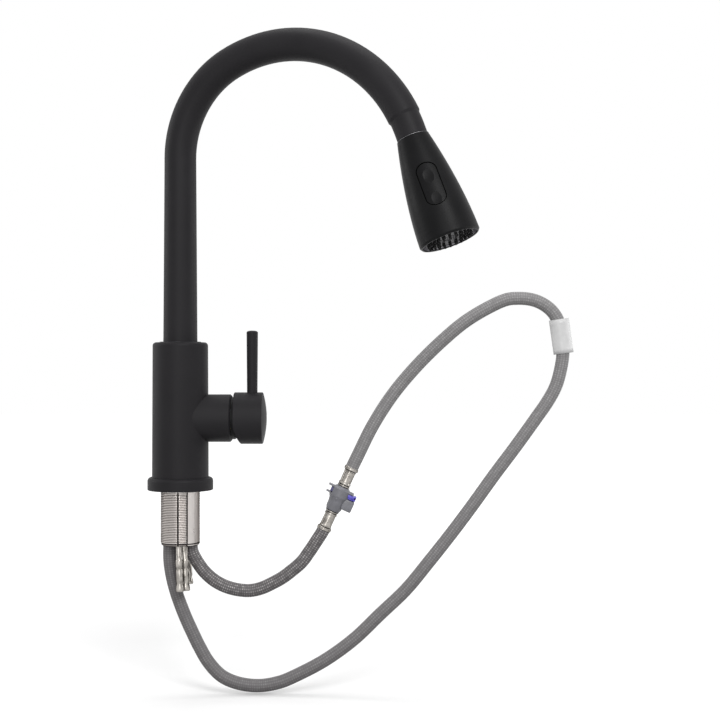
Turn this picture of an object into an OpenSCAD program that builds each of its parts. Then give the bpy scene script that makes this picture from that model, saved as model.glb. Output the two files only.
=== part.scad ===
/* [Body] */
// Diameter of the body where it meets the flange
body_d_low = 47.4; // [45:0.1:50]
// Diameter of the body under its shoulder
body_d_top = 46.4; // [45:0.1:50]
// Height of the body's shoulder above the deck
body_h = 124; // [120:1:140]
// Diameter of the flange on the deck
flange_d = 55; // [52:0.5:62]
// Thickness of the flange
flange_h = 10.6; // [8:0.1:14]

/* [Spout] */
// Swing of the spout towards the user, in degrees
spout_swing = 26; // [0:1:30]
// Diameter of the spout tube where it enters the body
tube_d_low = 28.6; // [28:0.1:29]
// Diameter of the spout tube from the end of its taper
tube_d = 26.6; // [26.4:0.1:27.4]
// Wall of the spout tube
tube_wall = 1.2; // [1:0.1:1.6]
// Height at which the first bend starts
riser_top = 278.6; // [240:0.1:300]
// Radius of the first bend
bend_r1 = 82.5; // [75:0.1:95]
// Angle of the first bend
bend_a1 = 65.8; // [60:0.1:75]
// Radius of the second bend
bend_r2 = 121.2; // [110:0.1:130]
// Angle between the spray head and a plumb line
head_tilt = 21.3; // [18:0.1:26]
// Straight length between the second bend and the spray head
outlet_straight = 7; // [6.5:0.5:9]

/* [Spray head] */
// Length of the spray head
head_len = 86; // [85:0.5:88]
// Diameter of the spray head at its dock
head_d_top = 25.8; // [25.6:0.1:26.4]
// Diameter of the spray head at its rim
head_d_rim = 48.4; // [48:0.1:50]
// Turn of the spray head about its own axis, which brings its toggle to the user, in degrees
head_turn = 23; // [0:1:30]
// Distance from the dock to the middle of the spray toggle
toggle_s = 44; // [43.5:0.5:45]
// Length of the spray toggle
toggle_len = 34.6; // [32:0.2:35]
// Width of the spray toggle
toggle_w = 15.2; // [13:0.2:16]
// Number of nozzles in the outer ring
nozzles_outer = 24; // [20:1:26]

/* [Handle] */
// Height of the handle's axis above the deck
handle_z = 60.2; // [58:0.1:64]
// Diameter of the boss for the cartridge
boss_d = 40; // [39.6:0.1:41]
// Reach of the boss from the body's axis
boss_x = 43.4; // [42.6:0.1:43.6]
// Diameter of the handle cap
cap_d = 43.4; // [43:0.1:46]
// Height of the lever's top above the deck
lever_top = 133.8; // [120:0.1:150]
// Diameter of the lever at its top
lever_d = 9.6; // [9:0.1:10]
// Distance from the body's axis to the lever
lever_x = 60.5; // [60:0.1:61]

/* [Under the deck] */
// Diameter of the threaded shank
shank_d = 33; // [32:0.1:34]
// Length of the shank below the deck
shank_len = 46; // [40:1:60]
// Outer diameter of both hoses
hose_d = 11; // [10:0.1:11]
// Diameter of the slim supply tails
tail_d = 4.6; // [4:0.1:5]

/* [Hidden] */

black = "#2D2D2F";
head_black = "#232325";
steel = "#B5AEAB";
braid = "#7C7A7B";

$fn = 96;
cut = 1;

// spout path, in the plane that holds the body's axis and the spray head
bend_a2 = 180 - head_tilt - bend_a1;
collar_a = 5.9;
tube_a2 = bend_a2 - collar_a;
bend2_x = bend_r1 - (bend_r1 - bend_r2) * cos(bend_a1);
bend2_z = riser_top + (bend_r1 - bend_r2) * sin(bend_a1);
dock_x = bend2_x + bend_r2 * cos(head_tilt) + outlet_straight * sin(head_tilt);
dock_z = bend2_z + bend_r2 * sin(head_tilt) - outlet_straight * cos(head_tilt);
taper_z = body_h + 2;
tube_foot_z = 92;
collar_d = 24.6;
running_gap = 0.05;
socket_r = 16.6;
socket_z = 88;
bush_r = tube_d_low / 2 + running_gap;
// shank: its spigot in the casting, its bore, and the hollow of the casting above it
spigot_r = 15.98;
shank_bore = 29.4;
lower_hollow_z = 36;
// runs of one tube lap by this much, each one a hair thinner than the run that it laps into
lap = 0.5;
lap_step = 0.02;

// the hose's way through the body: straight, then an S of two bends to the middle
hose_x = -9;
s_bend_r = 40;
s_bend_a = acos(1 + hose_x / (2 * s_bend_r));
s_bend_z = 62;
hose_swivel_z = 100;
hose_gap = 0.3;
// straight hose above the head's dock, and the angle of bend that it takes the place of
stub_len = 44;
stub_a = 19.5;

// spray head, measured from its dock
spigot_top = -9;
rim_round = 1.6;
head_wall = 2.2;
face_s = head_len - 1.4;
face_r = 19;
face_back_s = face_s - 4;
toggle_gap = 0.7;
toggle_inset = 0.5;
toggle_wall = 2.5;
toggle_pin_y = -14.2;
toggle_pin_r = 1.25;
spool_s = toggle_s + 11;
ring_radii = [17.2, 13.4, 9.9];
ring_counts = [nozzles_outer, 16, 12];

// places of the tails and of the outlet hose in the shank, and of the ports on the seat
hot_place = [0, -11.6];
cold_place = [5.3, -6.8];
rear_place = [5.2, 10];
outlet_place = [9, 1];
// cold, hot and mixed port: down from the handle's axis, across, and index of the depth
seat_ports = [[7, -7, 0], [7, 7, 1], [-8, 0, 0]];
port_depth = [4, 8];
port_z = handle_z - seat_ports[0][0];
tail_socket_top = 40;
waterway_r = 1.8;
tail_bore = 1.5;

// cartridge, measured along the handle's axis from its seat
seat_x = 8;
cartridge_r = 17.4;
pivot_h = 22;
pivot_x = seat_x + pivot_h;
cap_x = 45.4;
cap_end_x = 72.6;
cap_rim_curve = 42;
lever_seat_z = handle_z + cap_d / 2 - 0.9;

// connector axis: its upper end and its lean from a plumb line
connector_top = [143.9, 0, 17.3];
connector_lean = 24.65;
ferrule_len = 16;
connector_len = 22.6;
connector_bottom_t = 2 * ferrule_len + connector_len;

// sides of a free hose's skin
sides = 10;
// free hose routes as [across, depth, height], round numbers in millimetres
PULLOUT_ROUTE = [
    [-9, 0, -46], [-9, 1, -60], [-7, 3, -75], [-3, 4, -90], [3, 4, -106], [9, 3, -119],
    [16, 2, -133], [24, 1, -146], [35, 0, -157], [49, 0, -163], [65, 0, -165], [80, 0, -163],
    [94, 0, -158], [121, 0, -144], [146, 0, -126], [168, 0, -105], [190, 0, -84],
    [209, 0, -61], [228, 0, -37], [246, 0, -13], [264, 0, 12], [282, 0, 36], [300, 0, 61],
    [309, 0, 74], [316, 0, 87], [320, 0, 101], [322, 0, 115], [321, 0, 130], [318, 0, 142],
    [311, 0, 152], [299, 0, 159], [284, 0, 161], [269, 0, 158], [242, 0, 143], [219, 0, 124],
    [197, 0, 102], [178, 0, 79], [162, 0, 54], [150, 0, 30]
];
OUTLET_ROUTE = [
    [9, 1, -46], [10, 1, -53], [14, 2, -61], [20, 1, -69], [28, 0, -76], [37, 0, -81],
    [47, 0, -84], [58, 0, -85], [68, 0, -83], [77, 0, -79], [86, 0, -74], [94, 0, -68],
    [102, 0, -61], [108, 0, -53], [114, 0, -44]
];

// ---------- frames and shared shapes ----------

module spout_frame() rotate([0, 0, -spout_swing]) children();

// head frame: origin in the middle of the dock face, +Z out of the nozzles, -Y to the toggle
module head_frame()
    spout_frame() translate([dock_x, 0, dock_z]) rotate([0, 180 - head_tilt, 0])
        rotate([0, 0, -head_turn]) children();

// cartridge frame: origin on the seat, +Z out along the handle's axis
module cartridge_frame() translate([seat_x, 0, handle_z]) rotate([0, 90, 0]) children();

// connector frame: origin on the upper ferrule's end, +Z down to the lower ferrule
module connector_frame()
    translate(connector_top) rotate([0, 180 + connector_lean, 0]) children();

module ring(r_out, r_in, h) {
    difference() {
        cylinder(r = r_out, h = h);
        translate([0, 0, -cut]) cylinder(r = r_in, h = h + 2 * cut);
    }
}

module o_ring(r_mid, r_section) {
    rotate_extrude() translate([r_mid, 0]) circle(r = r_section, $fn = 24);
}

// a rod or bore of radius r round an arc that starts upwards at the origin and turns to +X;
// lap is an angle by which it also runs back below the origin, into the piece before it
module bend(radius, angle, r, lap = 0) {
    translate([radius, 0, 0]) rotate([90, 0, 0]) rotate([0, 0, 180 - angle])
        rotate_extrude(angle = angle + lap, $fn = 180)
            translate([radius, 0]) circle(r = r, $fn = 64);
}

// the spout's two bends as a rod of radius r; the second laps into the first, a hair thinner
module tube_bends(r, a2) {
    translate([0, 0, riser_top]) bend(bend_r1, bend_a1, r);
    after_bend2(0) bend(bend_r2, a2, r - lap_step, 0.3);
}

// what follows a run of the second bend that turns through angle a2
module after_bend2(a2) {
    translate([bend2_x, 0, bend2_z]) rotate([0, bend_a1 + a2, 0])
        translate([-bend_r2, 0, 0]) children();
}

// ---------- free hoses: one skin swept along hand-chosen points ----------

function unit(v) = v / norm(v);
function tangent(p, i) =
    i == 0 ? unit(p[1] - p[0]) :
    i == len(p) - 1 ? unit(p[i] - p[i - 1]) :
    unit(unit(p[i + 1] - p[i]) + unit(p[i] - p[i - 1]));
function ring_points(c, t, r) =
    let (u = unit(cross([0, 1, 0], t)), v = cross(t, u))
    [for (k = [0:sides - 1]) let (a = 360 * k / sides) c + r * (u * cos(a) + v * sin(a))];

// first and last tangents are given, so that the ends lie square on what they meet
module hose_skin(p, r, t_first, t_last) {
    n = len(p);
    rings = [for (i = [0:n - 1])
        ring_points(p[i], i == 0 ? t_first : i == n - 1 ? t_last : tangent(p, i), r)];
    points = [for (q = rings) for (w = q) w];
    walls = [for (i = [0:n - 2]) for (k = [0:sides - 1]) let (
            a = i * sides + k,
            b = i * sides + (k + 1) % sides
        ) each [[a, a + sides, b], [b, a + sides, b + sides]]];
    caps = [[for (k = [0:sides - 1]) k],
            [for (k = [sides - 1:-1:0]) (n - 1) * sides + k]];
    polyhedron(points = points, faces = concat(walls, caps));
}

connector_dir = [-sin(connector_lean), 0, -cos(connector_lean)];
connector_end = connector_top + connector_bottom_t * connector_dir;

// ---------- body, shank and swivel ----------

module body_profile() {
    edge = 3;
    polygon(concat(
        [[0, 0], [flange_d / 2 - 0.4, 0], [flange_d / 2, 0.4], [flange_d / 2, flange_h - edge]],
        [for (a = [15:15:75]) [flange_d / 2 - edge + edge * cos(a), flange_h - edge + edge * sin(a)]],
        [[flange_d / 2 - edge, flange_h], [body_d_low / 2, flange_h],
         [body_d_top / 2, body_h - edge]],
        [for (a = [15:15:75]) [body_d_top / 2 - edge + edge * cos(a), body_h - edge + edge * sin(a)]],
        [[body_d_top / 2 - edge, body_h], [0, body_h]]));
}

module body_casting() {
    chamfer = 1.2;
    color(black) difference() {
        union() {
            rotate_extrude() body_profile();
            translate([0, 0, handle_z]) rotate([0, 90, 0]) {
                cylinder(r = boss_d / 2, h = boss_x - chamfer);
                translate([0, 0, boss_x - chamfer])
                    cylinder(r1 = boss_d / 2, r2 = boss_d / 2 - chamfer, h = chamfer);
            }
        }
        // socket of the spout and the way of the hose
        translate([0, 0, socket_z]) cylinder(r = socket_r, h = body_h);
        translate([-4.5, 0, 70]) cylinder(r = 10, h = socket_z);
        translate([hose_x, 0, lower_hollow_z - cut]) cylinder(r = 6.6, h = 70 - lower_hollow_z + 2 * cut);
        // hollow foot with the seat of the shank and the groove of the seal
        translate([0, 0, 10]) cylinder(r = 19.5, h = lower_hollow_z - 10);
        translate([0, 0, -cut]) cylinder(r = spigot_r + 0.02, h = 10 + 2 * cut);
        translate([0, 0, -cut]) ring(flange_d / 2 - 2.5, flange_d / 2 - 6.5, 2 + cut);
        // cartridge bore with the wider mouth of the nut
        cartridge_frame() cylinder(r = cartridge_r + 0.1, h = boss_x);
        cartridge_frame() translate([0, 0, 24]) cylinder(r = 18.4, h = boss_x);
        // ports from the seat down to the tails and the outlet hose
        for (p = [hot_place, cold_place, rear_place]) translate([p[0], p[1], lower_hollow_z - cut])
            cylinder(r = tail_d / 2, h = tail_socket_top - lower_hollow_z + cut, $fn = 32);
        translate([outlet_place[0], outlet_place[1], lower_hollow_z - cut])
            cylinder(r = hose_d / 2, h = tail_socket_top - lower_hollow_z + cut);
        for (q = seat_ports) cartridge_frame() translate([q[0], q[1], -port_depth[q[2]]])
            cylinder(r = 2.6, h = port_depth[q[2]] + cut, $fn = 32);
        // cold way straight up, hot way up and across, mixed way down to the outlet hose
        translate([cold_place[0], cold_place[1], tail_socket_top - cut])
            cylinder(r = waterway_r, h = port_z - tail_socket_top + cut, $fn = 32);
        translate([hot_place[0], hot_place[1], tail_socket_top - cut])
            cylinder(r = waterway_r, h = port_z - tail_socket_top + cut, $fn = 32);
        translate([hot_place[0] + 0.5, hot_place[1] - 1, port_z]) rotate([-90, 0, 0])
            cylinder(r = waterway_r, h = 1 - hot_place[1] + seat_ports[1][1], $fn = 32);
        translate([5.5, 0, tail_socket_top - cut])
            cylinder(r = waterway_r, h = handle_z - seat_ports[2][0] - tail_socket_top + cut, $fn = 32);
    }
}

module base_seal() {
    color("#1B1B1C") translate([0, 0, 0.1]) ring(flange_d / 2 - 2.6, flange_d / 2 - 6.4, 1.8);
}

module threaded_shank() {
    color(steel) difference() {
        union() {
            translate([0, 0, -shank_len + 1]) cylinder(r = shank_d / 2, h = shank_len - 1);
            translate([0, 0, -shank_len]) cylinder(r1 = shank_d / 2 - 0.9, r2 = shank_d / 2, h = 1);
            translate([0, 0, -lap]) cylinder(r = spigot_r, h = 9.5 + lap);
        }
        translate([0, 0, -shank_len - cut]) cylinder(r = shank_bore / 2, h = shank_len + 20);
    }
}

module swivel_bush_upper() {
    color("#202022") {
        translate([0, 0, body_h - 12]) ring(socket_r, bush_r, 12);
        translate([0, 0, body_h]) ring(socket_r + 0.6, bush_r, 0.5);
    }
}

module swivel_bush_lower() {
    color("#D8D6D0") translate([0, 0, 96]) ring(socket_r, bush_r, 10);
}

// open snap ring in the groove at the foot of the spout
module spout_clip() {
    color(steel) spout_frame() translate([0, 0, 93.6]) difference() {
        ring(tube_d_low / 2 + 1.4, tube_d_low / 2 - 0.6, 1.2);
        translate([0, -3, -cut]) cube([20, 6, 4]);
    }
}

// tapered straight run of the tube, lapping into the first bend
module riser(r_from, r_to) {
    translate([0, 0, taper_z])
        cylinder(r1 = r_from, r2 = r_to - lap_step, h = riser_top - taper_z + lap);
}

module spout_tube() {
    r_low = tube_d_low / 2;
    foot_wall = tube_wall + 0.3;
    bore_r = tube_d / 2 - tube_wall;
    color(black) spout_frame() difference() {
        union() {
            difference() {
                translate([0, 0, tube_foot_z]) cylinder(r = r_low, h = taper_z - tube_foot_z);
                translate([0, 0, 93.5]) ring(r_low + cut, r_low - 0.6, 1.4);
            }
            riser(r_low - lap_step, tube_d / 2);
            tube_bends(tube_d / 2, tube_a2);
        }
        translate([0, 0, tube_foot_z - cut])
            cylinder(r = r_low - foot_wall, h = taper_z - tube_foot_z + 2 * cut);
        riser(r_low - foot_wall, bore_r);
        tube_bends(bore_r, tube_a2);
        after_bend2(tube_a2) translate([0, 0, -lap]) cylinder(r = bore_r - 2 * lap_step, h = 2);
    }
}

module spout_collar() {
    neck = 8;
    bore = 10.4;
    color(head_black) spout_frame() difference() {
        union() {
            after_bend2(tube_a2) bend(bend_r2, collar_a, collar_d / 2);
            after_bend2(bend_a2) translate([0, 0, -lap])
                cylinder(r = collar_d / 2 - lap_step, h = outlet_straight - 0.4 + lap);
            after_bend2(tube_a2) translate([0, 0, -neck]) cylinder(r = 11.7, h = neck + lap);
        }
        after_bend2(tube_a2) translate([0, 0, -neck - cut])
            cylinder(r = bore - lap_step, h = neck + lap + cut);
        after_bend2(tube_a2) bend(bend_r2, collar_a, bore);
        after_bend2(bend_a2) translate([0, 0, -lap])
            cylinder(r = bore - lap_step, h = outlet_straight + lap);
    }
}

// plastic guide in the collar that centres the head's spigot
module dock_insert() {
    color("#D8D6D0") spout_frame() after_bend2(bend_a2)
        translate([0, 0, 0.5]) ring(10.36, 8.6, outlet_straight - 1.4);
}

// ---------- hoses inside the mixer ----------

module body_hose() {
    r = hose_d / 2;
    s_top = s_bend_z + 2 * s_bend_r * sin(s_bend_a);
    color(braid) {
        translate([hose_x, 0, -shank_len]) cylinder(r = r - lap_step, h = shank_len + s_bend_z + lap);
        translate([hose_x, 0, s_bend_z]) bend(s_bend_r, s_bend_a, r);
        translate([0, 0, s_top]) rotate([180, 0, 180])
            bend(s_bend_r, s_bend_a + 0.5, r - lap_step);
        translate([0, 0, s_top - lap])
            cylinder(r = r - 2 * lap_step, h = hose_swivel_z - s_top + lap);
    }
}

// crimped upper end of the outlet hose, held in its socket and in the shank
module outlet_hose_top() {
    r = hose_d / 2;
    color("#6F6D6E") translate([outlet_place[0], outlet_place[1], 0]) {
        translate([0, 0, -shank_len]) cylinder(r = r, h = shank_len + 22);
        translate([0, 0, 22]) cylinder(r = r - 0.1, h = tail_socket_top - 22);
    }
}

module spout_hose() {
    r = hose_d / 2;
    color(braid) spout_frame() {
        translate([0, 0, hose_swivel_z + hose_gap])
            cylinder(r = r - lap_step, h = riser_top - hose_swivel_z - hose_gap + lap);
        tube_bends(r, bend_a2 - stub_a);
    }
}

// ---------- spray head ----------

function head_r(s) =
    head_d_top / 2 + (head_d_rim - head_d_top) / 2 * (1 - pow(1 - min(s, head_len) / head_len, 1.75));

module head_profile(inset, s_low, s_high) {
    steps = 14;
    polygon(concat(
        [[0, s_low]],
        [for (i = [0:steps]) let (s = s_low + (s_high - s_low) * i / steps) [head_r(s) - inset, s]],
        [[0, s_high]]));
}

module toggle_outline(grow) {
    r = toggle_w / 2 - 1.5 + grow;
    hull() for (e = [-1, 1]) translate([0, toggle_s + e * (toggle_len / 2 - toggle_w / 2 + 1.5)])
        scale([(toggle_w / 2 + grow) / r, 1]) circle(r = r, $fn = 32);
}

module toggle_prism(grow, depth_from, depth_to) {
    translate([0, -depth_to, 0]) rotate([90, 0, 0]) mirror([0, 0, 1])
        linear_extrude(height = depth_to - depth_from) toggle_outline(grow);
}

module head_shell() {
    mouth_s = head_len - 9;
    color(head_black) head_frame() difference() {
        union() {
            rotate_extrude() head_profile(0, 0, head_len - rim_round);
            translate([0, 0, head_len - rim_round])
                cylinder(r1 = head_r(head_len - rim_round), r2 = head_d_rim / 2 - 1.2, h = rim_round);
            translate([0, 0, spigot_top]) cylinder(r = 8.4, h = 10);
        }
        rotate_extrude() head_profile(head_wall, 5, mouth_s);
        translate([0, 0, mouth_s - 0.01]) cylinder(r = head_d_rim / 2 - head_wall, h = 12);
        translate([0, 0, spigot_top - cut]) cylinder(r = 6.2, h = 20);
        toggle_prism(toggle_gap, 10, 30);
    }
}

// straight length of hose that leaves the spout with the head
module head_hose() {
    color(braid) head_frame() translate([0, 0, -stub_len]) cylinder(r = hose_d / 2, h = stub_len + 8);
}

module hose_nut() {
    color(steel) head_frame() translate([0, 0, 8]) {
        difference() {
            cylinder(r = 8.6, h = 12, $fn = 6);
            translate([0, 0, -cut]) cylinder(r = hose_d / 2 + 0.1, h = 14);
        }
    }
}

module hose_washer() {
    color("#1B1B1C") head_frame() translate([0, 0, 17.2]) ring(5.2, 3.4, 1.8);
}

module head_check_valve() {
    color("#D8D6D0") head_frame() translate([0, 0, 22]) {
        ring(5, 3.4, 8);
        translate([0, 0, 3]) cylinder(r = 2.6, h = 3);
        for (a = [0:120:240]) rotate([0, 0, a]) translate([0, -0.5, 3.5]) cube([4, 1, 1]);
    }
}

module head_core() {
    ear = [3, 6.1, 6];
    color("#3A3A3C") head_frame() difference() {
        union() {
            translate([0, 0, 20]) cylinder(r = 8, h = 14);
            difference() {
                translate([0, 0, 33.5]) cylinder(r = 12, h = 26);
                toggle_prism(toggle_gap, 11.5, 30);
            }
            translate([0, 0, 59]) cylinder(r1 = 12, r2 = 20.5, h = 16);
            translate([0, 0, 74.8]) cylinder(r = head_d_rim / 2 - 2.9, h = face_back_s - 0.3 - 74.8);
            for (x = [-6.4, 3.4]) translate([x, -15.9, toggle_s - ear[2] / 2]) cube(ear);
        }
        translate([0, 0, 19]) cylinder(r = 5.05, h = 14);
        // spool bore, across the waterway, and the two ways down to the face
        translate([0, -13, spool_s]) rotate([-90, 0, 0]) cylinder(r = 4.05, h = 22);
        translate([0, 0, 30]) cylinder(r = 3, h = spool_s - 32);
        translate([0, 6, spool_s]) cylinder(r = 2.4, h = 40, $fn = 32);
        translate([0, 0, spool_s + 3]) cylinder(r = 2, h = 10, $fn = 32);
        translate([0, 0, 62]) cylinder(r1 = 4, r2 = face_r - 1, h = face_back_s - 62);
        translate([-8, toggle_pin_y, toggle_s]) rotate([0, 90, 0])
            cylinder(r = toggle_pin_r, h = 16, $fn = 32);
    }
}

// the spool's thin end follows the toggle's lower half
module diverter_spool() {
    color("#D8D6D0") head_frame() translate([0, -10.5, spool_s]) rotate([-90, 0, 0]) {
        difference() {
            cylinder(r = 4, h = 15);
            for (h = [3, 8]) translate([0, 0, h]) ring(5, 3, 2);
        }
        translate([0, 0, -8.2]) cylinder(r = 1.5, h = 8.6, $fn = 32);
    }
}

module spray_toggle() {
    pad_r = 25;
    pad_depth = 0.5;
    pad_s = 10;
    color(head_black) head_frame() difference() {
        union() {
            intersection() {
                toggle_prism(0, 13, 30);
                difference() {
                    rotate_extrude() head_profile(toggle_inset, 12, 70);
                    rotate_extrude() head_profile(toggle_inset + toggle_wall, 11, 71);
                }
            }
            translate([-3, -19.4, toggle_s - 3.2]) cube([6, 7, 6.4]);
        }
        // two shallow thumb pads
        for (s = [toggle_s - pad_s, toggle_s + pad_s])
            translate([0, -head_r(s) + toggle_inset + pad_depth - pad_r, s]) sphere(r = pad_r, $fn = 96);
        translate([-10, toggle_pin_y, toggle_s]) rotate([0, 90, 0])
            cylinder(r = toggle_pin_r + running_gap, h = 20, $fn = 32);
    }
}

module toggle_pin() {
    color(steel) head_frame() translate([-6.3, toggle_pin_y, toggle_s]) rotate([0, 90, 0])
        cylinder(r = toggle_pin_r, h = 12.6, $fn = 32);
}

module nozzle_ring_places(count, r) {
    for (i = [0:count - 1]) rotate([0, 0, 360 * i / count]) translate([r, 0, 0]) children();
}

module nozzle_plate() {
    color("#303033") head_frame() difference() {
        translate([0, 0, face_s - 2.4]) cylinder(r = face_r, h = 2.4);
        for (k = [0:2]) nozzle_ring_places(ring_counts[k], ring_radii[k])
            translate([0, 0, face_s - 4]) cylinder(r = 1.15, h = 6, $fn = 16);
        translate([0, 0, face_s - 4]) cylinder(r = 7.6, h = 6);
    }
}

// one rubber sheet behind the plate, with a hollow nozzle through each hole of it
module nozzle_mat() {
    color("#161617") head_frame() difference() {
        union() {
            translate([0, 0, face_back_s]) ring(face_r, 8, 1.5);
            for (k = [0:2]) nozzle_ring_places(ring_counts[k], ring_radii[k]) {
                translate([0, 0, face_s - 3.2]) cylinder(r = 1.1, h = 3.7, $fn = 16);
                translate([0, 0, face_s + 0.5]) cylinder(r1 = 1.1, r2 = 0.8, h = 2.3, $fn = 16);
            }
        }
        for (k = [0:2]) nozzle_ring_places(ring_counts[k], ring_radii[k])
            translate([0, 0, face_s - 5]) cylinder(r = 0.4, h = 9, $fn = 13);
    }
}

// bevelled ring between the rim and the nozzles
module face_ring() {
    r_in = face_r + 0.1;
    r_out = head_d_rim / 2 - head_wall - 0.15;
    color("#6C6C70") head_frame() rotate_extrude() polygon([
        [r_in, face_back_s], [r_out, face_back_s], [r_out, head_len - 0.6],
        [r_out - 0.6, head_len - 0.6], [r_in, face_s]]);
}

module aerator() {
    color("#48484B") head_frame() difference() {
        translate([0, 0, face_s - 8]) cylinder(r = 7.5, h = 8.2);
        translate([0, 0, face_s - 9]) cylinder(r = 5.8, h = 7);
        for (x = [-4.5:1.5:4.5]) for (y = [-4.5:1.5:4.5]) if (norm([x, y]) < 5.4)
            translate([x - 0.45, y - 0.45, face_s - 3]) cube([0.9, 0.9, 4]);
    }
}

// ---------- cartridge and handle ----------

module cartridge_base() {
    color("#D8D6D0") cartridge_frame() difference() {
        translate([0, 0, 0.1]) cylinder(r = cartridge_r, h = 3.9);
        for (q = seat_ports) translate([q[0], q[1], -cut]) cylinder(r = 2.6, h = 6, $fn = 32);
        for (q = seat_ports) translate([q[0], q[1], 0]) ring(4, 2.6, 1);
    }
}

module base_seals() {
    color("#1B1B1C") cartridge_frame() for (q = seat_ports)
        translate([q[0], q[1], 0.1]) ring(3.9, 2.8, 0.8);
}

module fixed_disc() {
    color("#E8E5DD") cartridge_frame() difference() {
        translate([0, 0, 4.1]) cylinder(r = 13, h = 2.9);
        for (q = seat_ports) translate([q[0], q[1], 3]) cylinder(r = 2.4, h = 6, $fn = 32);
    }
}

module moving_disc() {
    color("#DAD6CC") cartridge_frame() difference() {
        translate([0, 0, 7.1]) cylinder(r = 9, h = 3.4);
        translate([0, 0, 6]) cylinder(r = 4.6, h = 2.6);
        translate([-3, -3, 9]) cube([6, 6, 3]);
    }
}

module cartridge_housing() {
    color("#C3C0B8") cartridge_frame() difference() {
        union() {
            translate([0, 0, 4.1]) cylinder(r = cartridge_r, h = 19.9);
            translate([0, 0, 23.9]) cylinder(r = 13.6, h = 9);
        }
        translate([0, 0, 3]) cylinder(r = 15, h = 8.1);
        translate([0, 0, 10]) cylinder(r = 11.55, h = 24);
    }
}

module cartridge_rotor() {
    color("#8E8C88") cartridge_frame() difference() {
        translate([0, 0, 11.6]) cylinder(r = 11.5, h = 20.4);
        // slot in which the stem tilts, and the bore of its pin
        hull() {
            translate([-9.6, -4.3, 33]) cube([19.2, 8.6, 0.1]);
            translate([-4.8, -4.3, 22]) cube([9.6, 8.6, 0.1]);
            translate([-9.5, -4.3, 11]) cube([19, 8.6, 0.1]);
        }
        translate([0, -12, pivot_h]) rotate([-90, 0, 0]) cylinder(r = 2, h = 24, $fn = 32);
    }
}

module stem() {
    color(steel) cartridge_frame() difference() {
        union() {
            translate([-4, -4, 13]) cube([8, 8, 37]);
            translate([0, 0, 9.4]) cylinder(r = 2.2, h = 4);
        }
        translate([0, -5, pivot_h]) rotate([-90, 0, 0])
            cylinder(r = 2 + running_gap, h = 10, $fn = 32);
    }
}

module stem_pin() {
    color(steel) cartridge_frame() translate([0, -11, pivot_h]) rotate([-90, 0, 0])
        cylinder(r = 2, h = 22, $fn = 32);
}

module cartridge_nut() {
    color("#B79B5B") cartridge_frame() difference() {
        union() {
            translate([0, 0, 24.1]) cylinder(r = 18.35, h = 8);
            translate([0, 0, 32]) cylinder(r = 16.2, h = 2.6, $fn = 6);
        }
        translate([0, 0, 23]) cylinder(r = 13.7, h = 13);
    }
}

// domed cover of the nut; the dome is centred on the stem's pin, so the cap clears it
module trim_ring() {
    dome = 24.2;
    color("#1E1E20") translate([0, 0, handle_z]) rotate([0, 90, 0]) difference() {
        intersection() {
            translate([0, 0, boss_x + 0.05]) cylinder(r = 17.8, h = 9);
            translate([0, 0, pivot_x]) sphere(r = dome, $fn = 96);
        }
        translate([0, 0, boss_x - cut]) cylinder(r = 16.6, h = 2.2);
        translate([0, 0, boss_x]) cylinder(r = 15, h = 12);
    }
}

module cap_blank() {
    steps = 6;
    dome = 3;
    r = cap_d / 2;
    translate([0, 0, handle_z]) rotate([0, 90, 0]) rotate_extrude() polygon(concat(
        [[0, cap_x], [r - 0.5, cap_x], [r, cap_x + 0.5], [r, cap_end_x - dome - 0.5], [r - 0.5, cap_end_x - dome]],
        [for (i = [1:steps]) let (q = (r - 0.5) * (1 - i / steps))
            [q, cap_end_x - dome * pow(q / (r - 0.5), 2)]]));
}

module handle_cap() {
    color(black) difference() {
        cap_blank();
        // hollow over the trim ring, round the hub
        translate([cap_x - cut, 0, handle_z]) rotate([0, 90, 0]) difference() {
            cylinder(r = cap_d / 2 - 1.9, h = 17.6);
            translate([0, 0, 9.7]) cylinder(r = 8, h = 12);
        }
        // lower rim, curved back so that the cap can tilt
        difference() {
            translate([cap_x - 5, -30, handle_z - 30]) cube([14, 60, 30]);
            translate([cap_x + cap_rim_curve, -31, handle_z]) rotate([-90, 0, 0])
                cylinder(r = cap_rim_curve, h = 62, $fn = 180);
        }
        // socket of the stem, lever hole and the grub screw's hole
        translate([cap_x + 5, -4.1, handle_z - 4.1]) cube([12.8, 8.2, 8.2]);
        translate([lever_x, 0, handle_z + 12.4]) cylinder(r = 3, h = 12);
        translate([lever_x, 0, lever_seat_z]) cylinder(r = lever_d / 2 - 0.35, h = 5);
        translate([cap_end_x - 15.6, 3, handle_z]) rotate([-90, 0, 0]) cylinder(r = 2, h = 30);
    }
}

module lever() {
    low = lever_seat_z;
    r = lever_d / 2;
    color(black) translate([lever_x, 0, 0]) {
        translate([0, 0, low]) cylinder(r1 = r - 0.4, r2 = r, h = lever_top - 1.2 - low);
        translate([0, 0, lever_top - 1.2]) cylinder(r1 = r, r2 = r - 1, h = 0.8);
        translate([0, 0, lever_top - 0.4]) cylinder(r1 = r - 1, r2 = r - 2.6, h = 0.4);
        translate([0, 0, handle_z + 13]) cylinder(r = 3, h = low - handle_z - 13);
    }
}

module set_screw() {
    color(steel) translate([cap_end_x - 15.6, 4.3, handle_z]) rotate([-90, 0, 0]) difference() {
        cylinder(r = 1.95, h = 6);
        translate([0, 0, 3.5]) cylinder(r = 1.1, h = 4, $fn = 6);
    }
}

module screw_plug() {
    color("#1B1B1C") translate([cap_end_x - 15.6, cap_d / 2 - 4, handle_z]) rotate([-90, 0, 0])
        cylinder(r = 1.95, h = 3.8);
}

// ---------- supply tails ----------

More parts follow.
